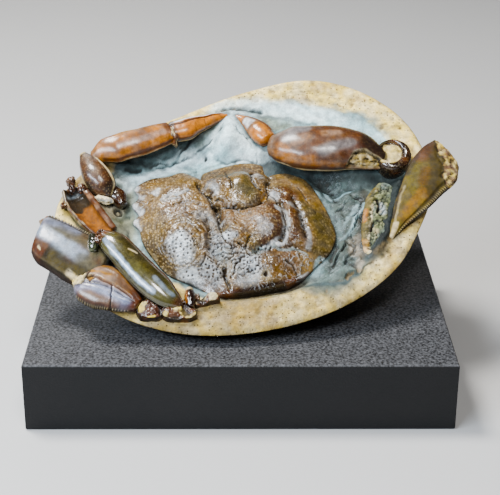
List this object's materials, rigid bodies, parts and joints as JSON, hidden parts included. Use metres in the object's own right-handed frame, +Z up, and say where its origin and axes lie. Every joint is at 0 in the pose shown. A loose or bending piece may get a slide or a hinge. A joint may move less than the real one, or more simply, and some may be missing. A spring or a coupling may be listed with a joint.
{
  "type": "fossil crab",
  "caption": "Fossil crab with lobed carapace, claws and broken legs lying in the dished face of a split stone nodule, on a black stone plinth.",
  "frame": {"origin": "middle of the plinth's flat underside", "axes": "+Z up; +X to the right of someone who looks at the crab; -Y is the front, which the nodule's open face leans towards"},
  "size_m": [0.2208, 0.16, 0.1294],
  "materials": {
    "plinth": "honed black stone with fine pale grain",
    "matrix": "weathered cream rim fading to blue-grey stone inside, satin",
    "carapace_shell": "mottled brown shell with pale worn patches, semi-gloss",
    "orange_shell": "amber orange shell, polished",
    "brown_shell": "dark brown shell, polished",
    "olive_shell": "olive-brown shell with blue-white sheen, polished",
    "infill": "crumbly grey-green stone filling, rough"
  },
  "bodies": {
    "root": {"plinth": "plinth", "nodule": "matrix", "carapace": "carapace_shell", "left_claw_palm": "orange_shell", "left_claw_finger": "orange_shell", "right_claw_finger": "orange_shell", "left_leg_1": "orange_shell", "right_claw_palm": "brown_shell", "right_claw_wrist": "brown_shell", "left_claw_wrist": "brown_shell", "left_claw_arm": "brown_shell", "left_leg_4": "brown_shell", "left_leg_joint": "brown_shell", "rear_leg_stub_1": "brown_shell", "rear_leg_stub_2": "brown_shell", "rear_leg_stub_3": "brown_shell", "rear_leg_stub_4": "brown_shell", "right_leg": "olive_shell", "left_leg_2": "olive_shell", "left_leg_3": "olive_shell", "right_leg_base": "infill"}
  },
  "joints": []
}
